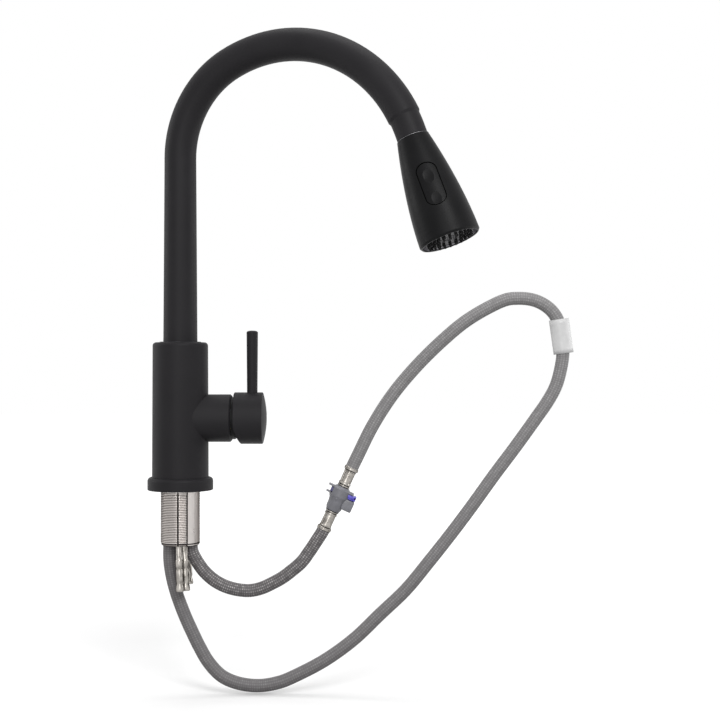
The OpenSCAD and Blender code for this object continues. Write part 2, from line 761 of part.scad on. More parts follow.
// slim tube whose end fitting has a collar, a neck, a barrel and an end ring
module tail(place, fit_top, fit_len) {
    f = fit_len / 26;
    color(steel) translate([place[0], place[1], fit_top]) difference() {
        union() {
            translate([0, 0, -fit_len]) rotate_extrude($fn = 64) polygon([
                [0, 0], [3.15, 0], [3.45, 0.4 * f], [3.45, 3.4 * f], [2.9, 4.2 * f], [3.2, 5 * f],
                [3.2, 17 * f], [2.6, 19.4 * f], [2.6, 21 * f], [3.3, 22.6 * f], [3.3, 25.4 * f],
                [2.9, 26 * f], [0, 26 * f]]);
            translate([0, 0, -lap]) cylinder(r = tail_d / 2, h = tail_socket_top - fit_top + lap);
        }
        translate([0, 0, -fit_len - cut]) cylinder(r = tail_bore, h = 200, $fn = 32);
    }
}

module hot_tail() tail(hot_place, -59, 26);
module cold_tail() tail(cold_place, -59, 26);
module rear_tail() tail(rear_place, -57, 23);

// ---------- free hoses and what is on them ----------

module pullout_hose() {
    color(braid) hose_skin(concat(PULLOUT_ROUTE, [connector_top]), hose_d / 2, [0, 0, -1], connector_dir);
}

module outlet_hose() {
    color("#6F6D6E") hose_skin(concat(OUTLET_ROUTE, [connector_end]), hose_d / 2, [0, 0, -1], -connector_dir);
}

// loose flat tube of grey film round the hose
module hose_sleeve() {
    color("#CCCCCC") translate([320.6, 0, 129]) rotate([0, -8, 0]) translate([0, 0, -14.5])
        linear_extrude(height = 29) difference() {
            hull() for (e = [-1, 1]) translate([2.4 * e, 0]) circle(r = 6.1, $fn = 32);
            hull() for (e = [-1, 1]) translate([2 * e, 0]) circle(r = 5.8, $fn = 32);
        }
}

module ferrule() {
    color(steel) rotate_extrude() polygon([
        [0, 0], [5.6, 0], [5.9, 0.4], [5.9, 2.4], [5.2, 3], [5, 3.8], [5, 13], [5.5, 13.6],
        [5.5, 15.4], [5, 16], [0, 16]]);
}

module upper_ferrule() connector_frame() ferrule();

module lower_ferrule()
    connector_frame() translate([0, 0, connector_bottom_t]) rotate([180, 0, 0]) ferrule();

// barrel, wide collar with the clip's slots, and the lobe that guards the release tab
module connector_body() {
    color("#6D6D70") connector_frame() translate([0, 0, ferrule_len]) difference() {
        union() {
            cylinder(r = 6, h = 1.6);
            translate([0, 0, 1.5]) cylinder(r = 8.2, h = 9.6);
            translate([0, 0, 11]) cylinder(r1 = 7.6, r2 = 6.5, h = 3);
            translate([0, 0, 14]) cylinder(r = 6.5, h = connector_len - 14);
            translate([-13.8, -5, 6]) cube([9, 10, 9]);
            translate([-9.5, -5, 9]) rotate([-90, 0, 0]) cylinder(r = 4.4, h = 10);
        }
        translate([0, 0, 3]) cylinder(r = 4.6, h = connector_len);
        translate([-15, -6, 3.2]) cube([24.4, 12, 5]);
    }
}

// spring clip: a tab on one side, two prongs out of the other
module connector_clip() {
    color("#4B42B0") connector_frame() translate([0, 0, ferrule_len + 3.5]) {
        difference() {
            translate([-13.4, -5.6, 0]) cube([21, 11.2, 2]);
            hull() for (x = [-2, 0]) translate([x, 0, -cut]) cylinder(r = 4.7, h = 5, $fn = 32);
            translate([0, -2.8, -cut]) cube([10, 5.6, 5]);
        }
        translate([-13.4, -5.6, 0]) cube([2, 11.2, 4.4]);
    }
    color("#6D6D70") connector_frame() translate([0, 0, ferrule_len + 3.5])
        for (y = [-5.6, 3.4]) translate([7.5, y, 0]) cube([4.4, 2.2, 1.8]);
}

// plug of the pull-out hose that snaps into the connector
module connector_stem() {
    color("#B79B5B") connector_frame() translate([0, 0, ferrule_len + 3.1]) difference() {
        cylinder(r = 4.3, h = 17);
        translate([0, 0, -cut]) cylinder(r = 2.8, h = 19);
        translate([0, 0, 10]) ring(5, 3.4, 1.8);
    }
}

module connector_o_ring() {
    color("#1B1B1C") connector_frame() translate([0, 0, ferrule_len + 14]) o_ring(4, 0.55);
}

body_casting();
base_seal();
threaded_shank();
swivel_bush_upper();
swivel_bush_lower();
spout_clip();
spout_tube();
spout_collar();
dock_insert();
spout_hose();
body_hose();
outlet_hose_top();
head_shell();
head_hose();
hose_nut();
hose_washer();
head_core();
head_check_valve();
spray_toggle();
toggle_pin();
diverter_spool();
nozzle_plate();
nozzle_mat();
face_ring();
aerator();
cartridge_base();
base_seals();
fixed_disc();
moving_disc();
cartridge_housing();
cartridge_rotor();
stem();
stem_pin();
cartridge_nut();
trim_ring();
handle_cap();
lever();
set_screw();
screw_plug();
hot_tail();
cold_tail();
rear_tail();
pullout_hose();
outlet_hose();
hose_sleeve();
upper_ferrule();
lower_ferrule();
connector_body();
connector_clip();
connector_stem();
connector_o_ring();
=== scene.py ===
"""Looks of a matte black kitchen mixer with a pull-down spray head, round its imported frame."""

import math

import bmesh
import bpy
from mathutils import Matrix, Vector


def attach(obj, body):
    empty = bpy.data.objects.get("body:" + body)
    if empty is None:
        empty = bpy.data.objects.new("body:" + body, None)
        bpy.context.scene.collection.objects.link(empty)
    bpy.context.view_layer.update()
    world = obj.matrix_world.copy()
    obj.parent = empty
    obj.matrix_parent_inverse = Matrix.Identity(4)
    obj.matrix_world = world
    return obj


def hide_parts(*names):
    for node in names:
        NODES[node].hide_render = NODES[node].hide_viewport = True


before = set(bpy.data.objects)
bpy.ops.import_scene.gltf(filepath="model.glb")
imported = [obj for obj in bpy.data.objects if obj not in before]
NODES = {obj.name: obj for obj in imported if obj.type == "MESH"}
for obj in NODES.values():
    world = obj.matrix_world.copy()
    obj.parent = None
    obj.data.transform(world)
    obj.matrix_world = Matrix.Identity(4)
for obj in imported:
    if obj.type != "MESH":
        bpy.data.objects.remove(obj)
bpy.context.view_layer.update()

MM = 0.001


def mm(*values):
    """A point given in millimetres, in metres."""
    return Vector(values) * MM


# ---------- camera ----------

camera_data = bpy.data.cameras.new("camera")
camera_data.lens = 70
camera_data.sensor_width = 36
camera = bpy.data.objects.new("camera", camera_data)
camera.location = (0.1512, -1.1786, 0.1091)
camera.rotation_euler = (math.radians(90), 0, 0)
bpy.context.scene.collection.objects.link(camera)
bpy.context.scene.camera = camera

# ---------- frames of the moving parts, as the CAD has them ----------

SPOUT_SWING = math.radians(26)
HEAD_TILT = math.radians(21.3)
HEAD_TURN = math.radians(23)
SPOUT = Matrix.Rotation(-SPOUT_SWING, 4, "Z")
# origin in the middle of the dock face, +Z out of the nozzles, -Y to the toggle
HEAD = (
    Matrix.Translation(mm(192.19, -93.74, 280.81))
    @ SPOUT
    @ Matrix.Rotation(math.pi - HEAD_TILT, 4, "Y")
    @ Matrix.Rotation(-HEAD_TURN, 4, "Z")
)
# origin on the upper ferrule's end, +Z down to the lower ferrule
CONNECTOR_LEAN = math.radians(24.65)
CONNECTOR_TOP = mm(143.9, 0, 17.3)
CONNECTOR = Matrix.Translation(CONNECTOR_TOP) @ Matrix.Rotation(math.pi + CONNECTOR_LEAN, 4, "Y")
CONNECTOR_DIR = CONNECTOR.to_3x3() @ Vector((0, 0, 1))
FERRULE_LEN = 16
CONNECTOR_LEN = 22.6
CONNECTOR_END = CONNECTOR_TOP + CONNECTOR_DIR * (2 * FERRULE_LEN + CONNECTOR_LEN) * MM

# ---------- small mesh tools ----------


def finish_mesh(name, bm, place=None, smooth=True):
    """The bmesh as an object at the origin, its place in its mesh."""
    if place is not None:
        bmesh.ops.transform(bm, matrix=place, verts=bm.verts)
    mesh = bpy.data.meshes.new(name)
    bm.to_mesh(mesh)
    bm.free()
    for polygon in mesh.polygons:
        polygon.use_smooth = smooth
    piece = bpy.data.objects.new(name, mesh)
    bpy.context.scene.collection.objects.link(piece)
    return piece


def lathe(bm, outline, steps=96):
    """Turn an outline of (radius, height) in millimetres round Z and close it on itself."""
    verts = [bm.verts.new((r * MM, 0, z * MM)) for r, z in outline]
    edges = [bm.edges.new(pair) for pair in zip(verts, verts[1:] + verts[:1])]
    bmesh.ops.spin(
        bm, geom=verts + edges, cent=(0, 0, 0), axis=(0, 0, 1), angle=2 * math.pi,
        steps=steps, use_merge=True, use_duplicate=False,
    )
    bmesh.ops.remove_doubles(bm, verts=bm.verts, dist=1e-7)
    bmesh.ops.dissolve_degenerate(bm, edges=bm.edges, dist=1e-7)
    bmesh.ops.recalc_face_normals(bm, faces=bm.faces)


def keep_crisp(bm, angle):
    """Keep edges over `angle` degrees crisp in smooth shading."""
    for edge in bm.edges:
        if len(edge.link_faces) == 2 and edge.calc_face_angle() > math.radians(angle):
            edge.smooth = False


def turned(name, outline, place=None, steps=96, sharp=35):
    """A turned piece whose edges over `sharp` degrees stay crisp."""
    bm = bmesh.new()
    lathe(bm, outline, steps)
    keep_crisp(bm, sharp)
    return finish_mesh(name, bm, place)


def rounded(bm, made, radius, segments=3):
    """Round every edge of a newly made block or rod."""
    # each edge once, in the order in which the vertices give them
    edges = list(dict.fromkeys(
        e for v in made["verts"] for e in v.link_edges
        if len(e.link_faces) == 2 and e.calc_face_angle() > math.radians(40)))
    bmesh.ops.bevel(bm, geom=edges, offset=radius * MM, offset_type="OFFSET", affect="EDGES",
                    segments=segments, profile=0.5, material=-1, clamp_overlap=True)


def block(bm, low, high, radius):
    """A block between two corners in millimetres, with rounded edges."""
    low, high = Vector(low), Vector(high)
    place = Matrix.Translation((low + high) / 2 * MM) @ Matrix.Diagonal((*((high - low) * MM), 1))
    rounded(bm, bmesh.ops.create_cube(bm, size=1.0, matrix=place), radius)


def rod(bm, start, end, r_start, r_end, radius, segments=48):
    """A rod or cone between two points in millimetres, with rounded ends."""
    start, end = Vector(start) * MM, Vector(end) * MM
    turn = (end - start).to_track_quat("Z", "Y").to_matrix().to_4x4()
    place = Matrix.Translation((start + end) / 2) @ turn
    rounded(bm, bmesh.ops.create_cone(
        bm, cap_ends=True, segments=segments, radius1=r_start * MM, radius2=r_end * MM,
        depth=(end - start).length, matrix=place), radius)


# ---------- free hoses ----------

PULLOUT_ROUTE = [
    (-9, 0, -46), (-9, 1, -60), (-7, 3, -75), (-3, 4, -90), (3, 4, -106), (9, 3, -119),
    (16, 2, -133), (24, 1, -146), (35, 0, -157), (49, 0, -163), (65, 0, -165), (80, 0, -163),
    (94, 0, -158), (121, 0, -144), (146, 0, -126), (168, 0, -105), (190, 0, -84),
    (209, 0, -61), (228, 0, -37), (246, 0, -13), (264, 0, 12), (282, 0, 36), (300, 0, 61),
    (309, 0, 74), (316, 0, 87), (320, 0, 101), (322, 0, 115), (321, 0, 130), (318, 0, 142),
    (311, 0, 152), (299, 0, 159), (284, 0, 161), (269, 0, 158), (242, 0, 143), (219, 0, 124),
    (197, 0, 102), (178, 0, 79), (162, 0, 54), (150, 0, 30), (143.9, 0, 17.3),
]
OUTLET_ROUTE = [
    (9, 1, -46), (10, 1, -53), (14, 2, -61), (20, 1, -69), (28, 0, -76), (37, 0, -81),
    (47, 0, -84), (58, 0, -85), (68, 0, -83), (77, 0, -79), (86, 0, -74), (94, 0, -68),
    (102, 0, -61), (108, 0, -53), (114, 0, -44), tuple(CONNECTOR_END / MM),
]
HOSE_R = 5.5


def smooth_route(points, first_dir, last_dir, step=1.5):
    """Points every `step` millimetres along a smooth curve through the route."""
    knots = [Vector(p) for p in points]
    slopes = [(b - a) / 2 for a, b in zip(knots, knots[2:])]
    slopes = [first_dir * (knots[1] - knots[0]).length] + slopes
    slopes += [last_dir * (knots[-1] - knots[-2]).length]
    fine = []
    for a, b, slope_a, slope_b in zip(knots, knots[1:], slopes, slopes[1:]):
        count = max(2, round((b - a).length / step))
        for i in range(count):
            t = i / count
            fine.append(
                a * (2 * t**3 - 3 * t**2 + 1) + slope_a * (t**3 - 2 * t**2 + t)
                + b * (3 * t**2 - 2 * t**3) + slope_b * (t**3 - t**2)
            )
    return [p * MM for p in fine + [knots[-1]]]


def hose(name, path, radius, sides=24):
    """A tube along the path. Its UV map holds metres along and turns around."""
    bm = bmesh.new()
    uv = bm.loops.layers.uv.new("UVMap")
    start = bmesh.ops.create_circle(bm, cap_ends=False, radius=radius * MM, segments=sides)["verts"]
    home = [v.co.copy() for v in start]
    lengths = [0.0]
    for a, b in zip(path, path[1:]):
        lengths.append(lengths[-1] + (b - a).length)
    rings = []
    ring = start
    for i, point in enumerate(path):
        along = (path[min(i + 1, len(path) - 1)] - path[max(i - 1, 0)]).normalized()
        across = Vector((0, 1, 0)).cross(along).normalized()
        turn = Matrix((across, along.cross(across), along)).transposed()
        if i:
            edges = [bm.edges.get((a, b)) for a, b in zip(ring, ring[1:] + ring[:1])]
            made = bmesh.ops.extrude_edge_only(bm, edges=edges)["geom"]
            fresh = {v.co.to_tuple(9): v for v in made if isinstance(v, bmesh.types.BMVert)}
            ring = [fresh[v.co.to_tuple(9)] for v in ring]
        for vert, co in zip(ring, home):
            vert.co = point + turn @ co
        rings.append(ring)
    place = {v: (lengths[i], k) for i, ring in enumerate(rings) for k, v in enumerate(ring)}
    for face in bm.faces:
        wraps = {place[v][1] for v in face.verts} == {0, sides - 1}
        for loop in face.loops:
            along, k = place[loop.vert]
            loop[uv].uv = (along, (sides if wraps and k == 0 else k) / sides)
    for ring in (rings[0], rings[-1]):
        bm.faces.new(ring)
    bmesh.ops.recalc_face_normals(bm, faces=bm.faces)
    return finish_mesh(name, bm)


DOWN = Vector((0, 0, -1))
pullout_path = smooth_route(PULLOUT_ROUTE, DOWN, CONNECTOR_DIR)
outlet_path = smooth_route(OUTLET_ROUTE, DOWN, -CONNECTOR_DIR)
pullout_hose = hose("pullout_hose_cover", pullout_path, HOSE_R)
outlet_hose = hose("outlet_hose_cover", outlet_path, HOSE_R)

# ---------- colours and the node helper ----------


def linear(colour):
    """An sRGB hex colour as linear red, green, blue and alpha."""
    parts = [int(colour[i:i + 2], 16) / 255 for i in (1, 3, 5)]
    return [c / 12.92 if c <= 0.04045 else ((c + 0.055) / 1.055) ** 2.4 for c in parts] + [1.0]


def add(material, kind, links=None, inputs=None, **settings):
    """Add a node: its settings, the values of its sockets, and links as {socket: source}."""
    tree = material.node_tree
    made = tree.nodes.new(kind)
    for key, value in settings.items():
        setattr(made, key, value)
    for key, value in (inputs or {}).items():
        made.inputs[key].default_value = value
    for key, source in (links or {}).items():
        tree.links.new(source, made.inputs[key])
    return made


def new_material(name, colour, **values):
    """A material with its Principled shader set from typical values, and the shader itself."""
    material = bpy.data.materials.new(name)
    material.use_nodes = True
    shader = material.node_tree.nodes["Principled BSDF"]
    shader.inputs["Base Color"].default_value = linear(colour)
    for key, value in values.items():
        shader.inputs[key.replace("_", " ")].default_value = value
    return material, shader


def ramp(material, source, stops):
    """A colour ramp over the source: stops are (position, hex colour)."""
    made = add(material, "ShaderNodeValToRGB", {"Fac": source})
    elements = made.color_ramp.elements
    for i, (position, colour) in enumerate(stops):
        element = elements[i] if i < 2 else elements.new(position)
        element.position = position
        element.color = linear(colour)
    return made.outputs["Color"]


def surface(material, shader, *, grain_mm=0.0, height_mm=0.0, tint=None, tint_mm=20.0, rough=None):
    """Fine grain as bump, a slow drift of colour, and a drift of roughness."""
    tree = material.node_tree
    where = add(material, "ShaderNodeTexCoord").outputs["Object"]
    if grain_mm:
        grain = add(material, "ShaderNodeTexNoise", {"Vector": where},
                    {"Scale": 1000 / grain_mm, "Detail": 3.0})
        bump = add(material, "ShaderNodeBump", {"Height": grain.outputs["Fac"]},
                   {"Distance": height_mm * MM, "Strength": 1.0})
        tree.links.new(bump.outputs["Normal"], shader.inputs["Normal"])
    drift = add(material, "ShaderNodeTexNoise", {"Vector": where},
                {"Scale": 1000 / tint_mm, "Detail": 4.0})
    if tint:
        colour = ramp(material, drift.outputs["Fac"], [(0.35, tint[0]), (0.65, tint[1])])
        tree.links.new(colour, shader.inputs["Base Color"])
    if rough:
        spread = add(material, "ShaderNodeMapRange", {"Value": drift.outputs["Fac"]},
                     {"From Min": 0.3, "From Max": 0.7, "To Min": rough[0], "To Max": rough[1]})
        tree.links.new(spread.outputs["Result"], shader.inputs["Roughness"])


# ---------- materials ----------

# powder-coated brass: an even, dry black with the faint orange peel of baked powder
powder_coat, shader = new_material("powder_coat", "#212022", Roughness=0.5, Specular_IOR_Level=0.1)
surface(powder_coat, shader, grain_mm=0.5, height_mm=0.01, tint=("#201F21", "#232224"),
        tint_mm=30, rough=(0.46, 0.54))

# moulded ABS, black: a little darker and smoother than the coated metal
black_abs, shader = new_material("black_abs", "#101011", Roughness=0.4, Specular_IOR_Level=0.09)
surface(black_abs, shader, grain_mm=0.3, height_mm=0.005, tint=("#0F0F10", "#121213"),
        tint_mm=18, rough=(0.38, 0.46))

# nitrile rubber: dull and slightly dusty
black_rubber, shader = new_material("black_rubber", "#0F0F10", Roughness=0.7,
                                    Specular_IOR_Level=0.15)
surface(black_rubber, shader, grain_mm=0.4, height_mm=0.01, tint=("#0D0D0E", "#131313"),
        tint_mm=6, rough=(0.6, 0.8))

# turned stainless steel: warm grey, with a fine grain and uneven shine
turned_steel, shader = new_material("turned_steel", "#9B9791", Metallic=1.0, Roughness=0.3,
                                    Specular_Tint=linear("#4E4B48"))
surface(turned_steel, shader, grain_mm=0.6, height_mm=0.004, tint=("#827E79", "#ABA7A1"),
        tint_mm=4, rough=(0.24, 0.36))

# stainless steel with a cut thread: its colour by distance from the axis paints highlights on the
# crests and shade in the roots and grooves
threaded_steel, shader = new_material("threaded_steel", "#A5A09C", Metallic=1.0, Roughness=0.32,
                                      Specular_Tint=linear("#4E4B48"))
where = add(threaded_steel, "ShaderNodeTexCoord").outputs["Object"]
level = add(threaded_steel, "ShaderNodeVectorMath", {0: where}, {1: (1000.0, 1000.0, 0.0)},
            operation="MULTIPLY")
from_axis = add(threaded_steel, "ShaderNodeVectorMath", {0: level.outputs["Vector"]},
                operation="LENGTH")
# from 15 mm off the axis, in one of the grooves, to 16.5 mm, on a crest
depth = add(threaded_steel, "ShaderNodeMapRange", {"Value": from_axis.outputs["Value"]},
            {"From Min": 15.0, "From Max": 16.5})
# painted light: darkest in the grooves and roots as painted shade, palest on the crests as painted
# highlight
threaded_steel.node_tree.links.new(
    ramp(threaded_steel, depth.outputs["Result"],
         [(0.3, "#34302F"), (0.6, "#76716E"), (0.74, "#BBB6B3"), (0.98, "#CFCAC7")]),
    shader.inputs["Base Color"])
stain = add(threaded_steel, "ShaderNodeTexNoise", {"Vector": where}, {"Scale": 120.0})
spread = add(threaded_steel, "ShaderNodeMapRange", {"Value": stain.outputs["Fac"]},
             {"From Min": 0.3, "From Max": 0.7, "To Min": 0.26, "To Max": 0.38})
threaded_steel.node_tree.links.new(spread.outputs["Result"], shader.inputs["Roughness"])

# glass-filled nylon, dark: moulded, matt
dark_nylon, shader = new_material("dark_nylon", "#28272A", Roughness=0.4, Specular_IOR_Level=0.2)
surface(dark_nylon, shader, grain_mm=0.3, height_mm=0.01, tint=("#242326", "#302F32"),
        tint_mm=8, rough=(0.34, 0.46))

# acetal: off-white bearing plastic, waxy
white_acetal, shader = new_material("white_acetal", "#D8D6D0", Roughness=0.4)
surface(white_acetal, shader, grain_mm=0.5, height_mm=0.006, tint=("#D2D0C9", "#DEDCD7"),
        tint_mm=10, rough=(0.35, 0.45))

# alumina ceramic, lapped: pale and nearly polished
alumina, shader = new_material("alumina", "#E2DED4", Roughness=0.2)
surface(alumina, shader, tint=("#DEDACF", "#E8E5DC"), tint_mm=5, rough=(0.15, 0.25))

# turned brass: yellow, lightly dulled
turned_brass, shader = new_material("turned_brass", "#B79B5B", Metallic=1.0, Roughness=0.35)
surface(turned_brass, shader, grain_mm=0.6, height_mm=0.004, tint=("#AC9052", "#C2A768"),
        tint_mm=6, rough=(0.28, 0.42))

# moulded polypropylene, blue-grey: the connector's body
grey_polypropylene, shader = new_material("grey_polypropylene", "#6C6C71", Roughness=0.45)
surface(grey_polypropylene, shader, grain_mm=0.4, height_mm=0.01, tint=("#67676C", "#727278"),
        tint_mm=6, rough=(0.4, 0.52))

# ABS with a satin metal plating: the bevelled ring of the spray face
satin_plating, shader = new_material("satin_plating", "#7C7B7E", Metallic=1.0, Roughness=0.42,
                                     Specular_Tint=linear("#5A595C"))
surface(satin_plating, shader, grain_mm=0.4, height_mm=0.003, tint=("#757477", "#858487"),
        tint_mm=7, rough=(0.36, 0.5))

# moulded acetal, blue: the release clip
blue_acetal, shader = new_material("blue_acetal", "#4E45B4", Roughness=0.35)
surface(blue_acetal, shader, grain_mm=0.5, height_mm=0.006, tint=("#483FAB", "#554DC0"),
        tint_mm=4, rough=(0.3, 0.4))

# the same acetal where it lies in shade inside the connector: the clip's far end
dark_acetal, shader = new_material("dark_acetal", "#3C3966", Roughness=0.45)
surface(dark_acetal, shader, grain_mm=0.5, height_mm=0.006, tint=("#37345E", "#43406F"),
        tint_mm=4, rough=(0.4, 0.5))

# polyethylene film, grey-white: a thin loose tube with a soft shine
film, shader = new_material("film", "#C8C8C8", Roughness=0.4)
surface(film, shader, grain_mm=3.0, height_mm=0.05, tint=("#C2C2C2", "#CFCFCF"),
        tint_mm=12, rough=(0.35, 0.5))


def braid(name, rows, pitch_mm, dark, pale, bead_highlight, depth_mm, row_low, start_shade):
    """A woven cover whose strands stand up as beads, in rows along it, with painted shade between
    them, painted highlights on them and painted shade over its start.
    """
    material, shader = new_material(name, pale, Roughness=0.6)
    tree = material.node_tree
    where = add(material, "ShaderNodeTexCoord").outputs["UV"]
    split = add(material, "ShaderNodeSeparateXYZ", {"Vector": where})
    waves = []
    for axis, scale in (("Y", 2 * math.pi * rows), ("X", 2 * math.pi * 1000 / pitch_mm)):
        phase = add(material, "ShaderNodeMath", {0: split.outputs[axis]}, {1: scale},
                    operation="MULTIPLY")
        waves.append(add(material, "ShaderNodeMath", {0: phase.outputs["Value"]},
                         operation="SINE").outputs["Value"])
    row = add(material, "ShaderNodeMapRange", {"Value": waves[0]},
              {"From Min": -1.0, "From Max": 1.0, "To Min": row_low}).outputs["Result"]
    bead = add(material, "ShaderNodeMapRange", {"Value": waves[1]},
               {"From Min": -1.0, "From Max": 1.0, "To Min": 0.4}).outputs["Result"]
    weave = add(material, "ShaderNodeMath", {0: row, 1: bead}, operation="MULTIPLY")
    # handling leaves the strands uneven, so some beads stand higher than others; the colour follows
    # that height, so the painted highlight sits on some beads and not on others
    uneven = add(material, "ShaderNodeTexNoise",
                 {"Vector": add(material, "ShaderNodeTexCoord").outputs["Object"]},
                 {"Scale": 1000 / 3.0, "Detail": 2.0})
    height = add(material, "ShaderNodeMath",
                 {0: weave.outputs["Value"], 1: uneven.outputs["Fac"]}, operation="MULTIPLY")
    bump = add(material, "ShaderNodeBump", {"Height": height.outputs["Value"]},
               {"Distance": depth_mm * MM, "Strength": 1.0})
    tree.links.new(bump.outputs["Normal"], shader.inputs["Normal"])
    # the colour follows the height: darkest between the strands as painted shade, palest on the
    # raised beads as painted highlight
    woven = ramp(material, height.outputs["Value"], [(0.05, dark), (0.35, pale), (0.62, bead_highlight)])
    # painted shade over the first 0.15 m from the hose's start, fading out by 0.55 m
    along = add(material, "ShaderNodeMapRange", {"Value": split.outputs["X"]},
                {"From Min": 0.15, "From Max": 0.55})
    start_shading = ramp(material, along.outputs["Result"], [(0.0, start_shade), (1.0, "#FFFFFF")])
    shade = add(material, "ShaderNodeMix", data_type="RGBA", blend_type="MULTIPLY")
    shade.inputs["Factor"].default_value = 1.0
    tree.links.new(woven, shade.inputs["A"])
    tree.links.new(start_shading, shade.inputs["B"])
    tree.links.new(shade.outputs["Result"], shader.inputs["Base Color"])
    return material


# braided nylon over rubber: a fine grey weave, with painted shade over its length near the shank
fine_braid = braid("fine_braid", 14, 1.9, "#6C6A6B", "#818080", "#9C9A9B", 0.12, 0.3, "#D2D0D1")
# stainless wire and nylon braid of the outlet hose: coarser, with bright painted highlights on the
# beads
coarse_braid = braid("coarse_braid", 14, 1.8, "#454243", "#656263", "#B2AFAE", 0.25, 0.35,
                     "#FFFFFF")

# the same grey weave on the short hoses inside the body, spout and head, which have no UV map
inner_braid, shader = new_material("inner_braid", "#787778", Roughness=0.6)
surface(inner_braid, shader, grain_mm=1.2, height_mm=0.2, tint=("#5E5C5D", "#969495"),
        tint_mm=1.5, rough=(0.5, 0.7))


def dress(material, *names):
    """Give CAD nodes, or pieces, this one material."""
    for name in names:
        piece = NODES.get(name) or bpy.data.objects[name]
        piece.data.materials.clear()
        piece.data.materials.append(material)


# ---------- threaded shank ----------

SHANK_R = 16.5
THREAD_PITCH = 1.4
THREAD_DEPTH = 0.62
THREAD_TURNS = 31
THREAD_STEPS = 144
# height at which the first turn starts, in millimetres
THREAD_START = -45
# two grooves, cut down to where the thread's colour ramp is darkest, stand for two dark reflections
# running down the shank: painted reflection. From and to in degrees from the front towards the
# right
DARK_LINE_GROOVES = ((-1.3, 0.1), (26.2, 27.6))
DARK_LINE_GROOVE_R = 15.1
# the smooth milled parts beside them: from, to and the radius that is left. The second radius also
# puts that face in a darker part of the thread's colour ramp: painted shade
MILLED = ((29.9, 52.6, 16.14), (54.9, 82.6, 15.99))


def cut_shank_thread():
    """Helical thread up to the deck, cut through by two grooves that carry painted dark
    reflections, and milled off at one side.
    """
    bm = bmesh.new()
    root = SHANK_R - THREAD_DEPTH
    # one tooth of the thread, carried round and up
    tooth = [(root, 0), (SHANK_R, THREAD_PITCH * 0.38), (SHANK_R, THREAD_PITCH * 0.62),
             (root, THREAD_PITCH)]
    verts = [bm.verts.new((r * MM, 0, (z + THREAD_START) * MM)) for r, z in tooth]
    edges = [bm.edges.new(pair) for pair in zip(verts, verts[1:])]
    bmesh.ops.spin(
        bm, geom=verts + edges, cent=(0, 0, 0), axis=(0, 0, 1),
        dvec=(0, 0, THREAD_PITCH * MM / THREAD_STEPS), angle=2 * math.pi, steps=THREAD_STEPS,
        use_merge=False, use_duplicate=False,
    )
    first_turn = bm.verts[:] + bm.edges[:] + bm.faces[:]
    for i in range(1, THREAD_TURNS):
        made = bmesh.ops.duplicate(bm, geom=first_turn)["geom"]
        bmesh.ops.translate(bm, verts=[v for v in made if isinstance(v, bmesh.types.BMVert)],
                            vec=(0, 0, i * THREAD_PITCH * MM))
    bmesh.ops.remove_doubles(bm, verts=bm.verts, dist=1e-6)
    lathe(bm, [
        (14.7, -46), (15.5, -46), (root, -45.6), (root, -44.8), (15.0, -44.7),
        (15.0, -2.2), (SHANK_R, -1.7), (SHANK_R, 0), (15.98, 0), (15.98, 9.5), (14.7, 9.5),
    ], steps=THREAD_STEPS)
    for vert in bm.verts:
        radius = math.hypot(vert.co.x, vert.co.y)
        turn = math.degrees(math.atan2(vert.co.x, -vert.co.y))
        if vert.co.z > -1 * MM or radius < (root - 0.02) * MM:
            continue
        if any(low < turn < high for low, high in DARK_LINE_GROOVES):
            vert.co.xy *= DARK_LINE_GROOVE_R * MM / radius
        for low, high, milled_r in MILLED:
            if low < turn < high:
                vert.co.xy *= milled_r * MM / radius
    return finish_mesh("shank_thread", bm, smooth=False)


shank = cut_shank_thread()
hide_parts("threaded_shank")
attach(shank, "body")

# ---------- loose film tube on the hose ----------


def film_sleeve():
    """Flattened tube of film: two broad faces that meet in a soft ridge at each side."""
    bm = bmesh.new()
    ring = bmesh.ops.create_circle(bm, cap_ends=False, radius=1.0, segments=48)["verts"]
    for vert in ring:
        x, y, _ = vert.co
        vert.co = Vector((8.4 * x * (1 - 0.02 * abs(y)), 6.0 * y * (1 - 0.3 * x * x), -14.5)) * MM
    edges = bm.edges[:]
    for _ in range(8):
        made = bmesh.ops.extrude_edge_only(bm, edges=edges)["geom"]
        fresh = [v for v in made if isinstance(v, bmesh.types.BMVert)]
        bmesh.ops.translate(bm, verts=fresh, vec=(0, 0, 29 / 8 * MM))
        edges = [e for e in made if isinstance(e, bmesh.types.BMEdge)
                 and all(v in fresh for v in e.verts)]
    bmesh.ops.recalc_face_normals(bm, faces=bm.faces)
    place = Matrix.Translation(mm(320.6, 0, 129)) @ Matrix.Rotation(math.radians(-8), 4, "Y")
    piece = finish_mesh("hose_sleeve_film", bm, place)
    solid = piece.modifiers.new("wall", "SOLIDIFY")
    solid.thickness = 0.0002
    solid.offset = 0
    return piece


sleeve = film_sleeve()
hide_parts("hose_sleeve")
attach(sleeve, "body")

# ---------- hose fittings ----------

FERRULE = [
    (0, -1.4), (5.7, -1.4), (6.0, -1.1), (6.0, 0.9), (5.7, 1.2), (4.5, 1.3), (4.5, 1.8),
    (5.2, 1.9), (5.2, 2.4), (4.8, 2.8), (4.75, 12.3), (5.2, 12.9), (5.4, 13.3), (5.2, 13.9),
    (4.5, 14.1), (4.5, 14.9), (5.3, 15.0), (5.3, 15.7), (5.0, 16), (0, 16),
]
# heights of the grooves for its rubber rings
GROOVES = (1.3, 14.25)
LOWER_END = (
    CONNECTOR @ Matrix.Translation(mm(0, 0, 2 * FERRULE_LEN + CONNECTOR_LEN))
    @ Matrix.Rotation(math.pi, 4, "X")
)
upper_ferrule = turned("upper_ferrule_turned", FERRULE, CONNECTOR)
lower_ferrule = turned("lower_ferrule_turned", FERRULE, LOWER_END)


